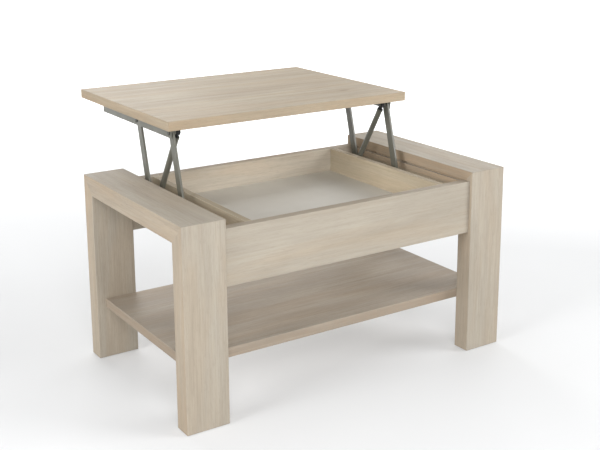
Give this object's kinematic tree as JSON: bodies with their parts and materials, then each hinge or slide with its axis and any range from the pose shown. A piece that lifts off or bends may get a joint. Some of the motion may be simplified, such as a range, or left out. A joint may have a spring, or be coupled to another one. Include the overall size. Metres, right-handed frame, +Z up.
{
  "type": "lift top coffee table",
  "caption": "Rectangular coffee table with wide mitred end frames, lower shelf, and a lid that lifts up and out on parallel steel arms over a shallow storage tray",
  "frame": {"origin": "on the floor, under the middle of the whole object as it stands with the lid raised; the middle of the four legs is 126 mm in front of it, towards -Y", "axes": "+Z up; +X along the length, towards the right-hand end frame; +Y towards the back, the side the raised lid reaches over"},
  "size_m": [0.86, 0.752, 0.605],
  "materials": {
    "beech_dowel": "bare beech",
    "black_plastic": "fine-grained black",
    "grey_panel": "smooth pale grey painted fibreboard",
    "nylon": "grey nylon",
    "oak_apron": "matt washed-oak foil, grain along the apron",
    "oak_leg": "matt washed-oak foil, grain running up the leg",
    "oak_lid": "matt washed-oak foil, grain along the lid",
    "oak_mounting_rail": "matt washed-oak foil",
    "oak_rail": "matt washed-oak foil, grain along the rail",
    "oak_shelf": "matt washed-oak foil, grain along the shelf",
    "oak_tray_wall": "matt washed-oak foil, grain along the wall",
    "painted_steel": "satin grey-green paint",
    "zinc_fitting": "bright zinc",
    "zinc_pin": "dark zinc",
    "zinc_rod": "dull zinc",
    "zinc_screw": "bright zinc"
  },
  "bodies": {
    "table": {"left_front_leg": "oak_leg", "left_back_leg": "oak_leg", "right_front_leg": "oak_leg", "right_back_leg": "oak_leg", "left_top_rail": "oak_rail", "right_top_rail": "oak_rail", "floor_glides": "black_plastic", "front_apron": "oak_apron", "back_apron": "oak_apron", "left_tray_wall": "oak_tray_wall", "right_tray_wall": "oak_tray_wall", "tray_floor": "grey_panel", "left_mounting_rail": "oak_mounting_rail", "right_mounting_rail": "oak_mounting_rail", "shelf": "oak_shelf", "cam_locks": "zinc_fitting", "cam_bolts": "zinc_fitting", "wood_dowels": "beech_dowel", "left_base_bracket": "painted_steel", "right_base_bracket": "painted_steel", "base_screws": "zinc_screw", "base_pins": "zinc_pin", "base_spacers": "nylon"},
    "left_front_arm": {"left_front_arm": "painted_steel"},
    "left_rear_arm": {"left_rear_arm": "painted_steel"},
    "left_stay_lower": {"left_stay_foot": "painted_steel", "left_stay_tube": "painted_steel", "left_stay_nose": "painted_steel"},
    "left_stay_upper": {"left_stay_rod": "zinc_rod", "left_stay_eye": "black_plastic"},
    "right_front_arm": {"right_front_arm": "painted_steel"},
    "right_rear_arm": {"right_rear_arm": "painted_steel"},
    "right_stay_lower": {"right_stay_foot": "painted_steel", "right_stay_tube": "painted_steel", "right_stay_nose": "painted_steel"},
    "right_stay_upper": {"right_stay_rod": "zinc_rod", "right_stay_eye": "black_plastic"},
    "raising_lid": {"lid": "oak_lid", "left_top_bracket": "painted_steel", "right_top_bracket": "painted_steel", "top_screws": "zinc_screw", "top_pins": "zinc_pin", "top_spacers": "nylon"}
  },
  "joints": [
    {"name": "lift", "type": "hinge", "parent": "table", "child": "left_rear_arm", "pos_m": [-0.2995, 0.036, 0.37284], "axis": [1, 0, 0], "range_deg": [0, 92.96]},
    {"name": "lid_level", "type": "hinge", "parent": "left_rear_arm", "child": "raising_lid", "pos_m": [-0.2995, 0.0884, 0.57], "axis": [1, 0, 0], "range_deg": [-92.96, 0]},
    {"name": "left_front_arm_turn", "type": "hinge", "parent": "table", "child": "left_front_arm", "pos_m": [-0.2995, -0.134, 0.37284], "axis": [1, 0, 0], "range_deg": [0, 92.96]},
    {"name": "right_front_arm_turn", "type": "hinge", "parent": "table", "child": "right_front_arm", "pos_m": [0.2995, -0.134, 0.37284], "axis": [1, 0, 0], "range_deg": [0, 92.96]},
    {"name": "right_rear_arm_turn", "type": "hinge", "parent": "table", "child": "right_rear_arm", "pos_m": [0.2995, 0.036, 0.37284], "axis": [1, 0, 0], "range_deg": [0, 92.96]},
    {"name": "left_stay_lower_turn", "type": "hinge", "parent": "table", "child": "left_stay_lower", "pos_m": [-0.286, 0.036, 0.37284], "axis": [1, 0, 0], "range_deg": [0, 52.49]},
    {"name": "left_stay_upper_turn", "type": "hinge", "parent": "left_front_arm", "child": "left_stay_upper", "pos_m": [-0.286, -0.0816, 0.57], "axis": [1, 0, 0], "range_deg": [-40.47, 0]},
    {"name": "right_stay_lower_turn", "type": "hinge", "parent": "table", "child": "right_stay_lower", "pos_m": [0.286, 0.036, 0.37284], "axis": [1, 0, 0], "range_deg": [0, 52.49]},
    {"name": "right_stay_upper_turn", "type": "hinge", "parent": "right_front_arm", "child": "right_stay_upper", "pos_m": [0.286, -0.0816, 0.57], "axis": [1, 0, 0], "range_deg": [-40.47, 0]}
  ],
  "couplings": [
    {"joint": "lid_level", "follows": "lift", "ratio": -1},
    {"joint": "left_front_arm_turn", "follows": "lift", "ratio": 1},
    {"joint": "right_front_arm_turn", "follows": "lift", "ratio": 1},
    {"joint": "right_rear_arm_turn", "follows": "lift", "ratio": 1},
    {"joint": "left_stay_lower_turn", "follows": "lift", "ratio": 0.56465},
    {"joint": "left_stay_upper_turn", "follows": "lift", "ratio": -0.43535},
    {"joint": "right_stay_lower_turn", "follows": "lift", "ratio": 0.56465},
    {"joint": "right_stay_upper_turn", "follows": "lift", "ratio": -0.43535}
  ]
}
